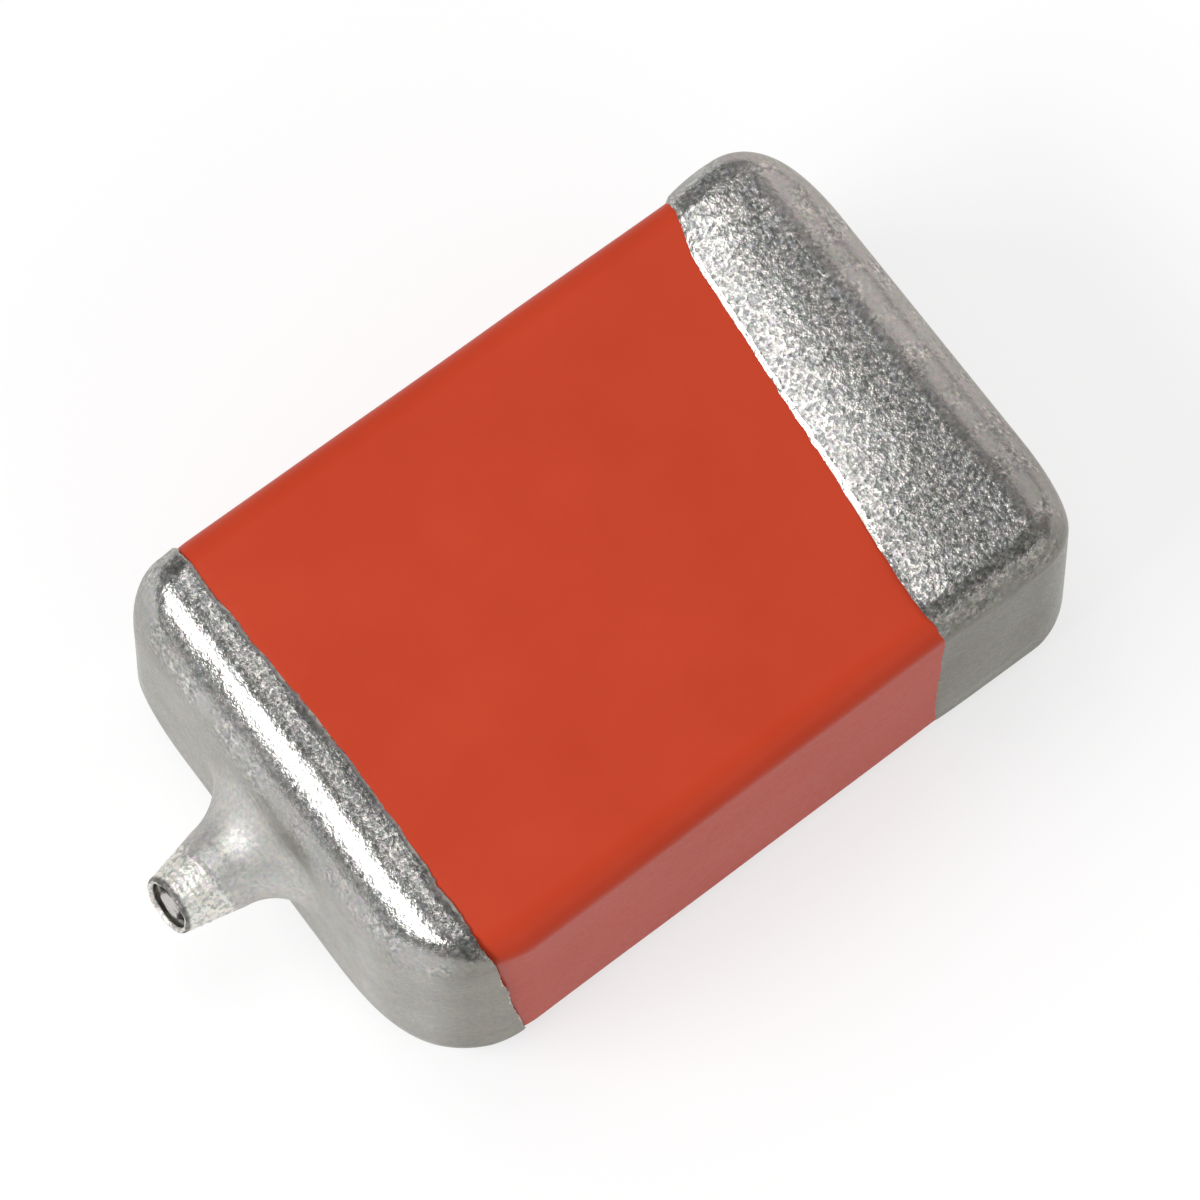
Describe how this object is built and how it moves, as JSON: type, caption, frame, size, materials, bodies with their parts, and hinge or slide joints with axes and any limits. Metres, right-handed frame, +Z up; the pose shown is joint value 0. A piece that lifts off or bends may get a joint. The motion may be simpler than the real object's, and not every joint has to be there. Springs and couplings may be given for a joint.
{
  "type": "tantalum capacitor",
  "caption": "Solid tantalum chip capacitor with a conformal epoxy coat, dipped metal terminations and a cut anode nib.",
  "frame": {"origin": "under the middle of the overall length, on the plane of the two terminations' undersides", "axes": "+X from the anode nib towards the cathode end, +Y across the width, +Z up from the board"},
  "size_m": [0.0074, 0.0044, 0.0026],
  "materials": {
    "tantalum_wire": "drawn tantalum wire, sheared at its end",
    "sintered_tantalum": "porous sintered tantalum, matt grey",
    "fluoropolymer": "white fluoropolymer washer",
    "manganese_dioxide": "black manganese dioxide",
    "graphite_paint": "dried graphite paint",
    "silver_paint": "dried silver paint, matt",
    "conductive_epoxy": "silver-filled conductive epoxy",
    "epoxy_coat": "smooth orange-red epoxy, slightly glossy",
    "termination_silver": "fired silver-filled paste",
    "nickel": "plated nickel",
    "tin": "matt plated tin with a fine grain"
  },
  "bodies": {
    "root": {"lead_wire": "tantalum_wire", "tantalum_block": "sintered_tantalum", "insulating_washer": "fluoropolymer", "manganese_dioxide": "manganese_dioxide", "graphite": "graphite_paint", "silver_skin": "silver_paint", "cathode_joint": "conductive_epoxy", "epoxy_coating": "epoxy_coat", "anode_silver_base": "termination_silver", "anode_nickel_barrier": "nickel", "anode_tin_finish": "tin", "cathode_silver_base": "termination_silver", "cathode_nickel_barrier": "nickel", "cathode_tin_finish": "tin"}
  },
  "joints": []
}
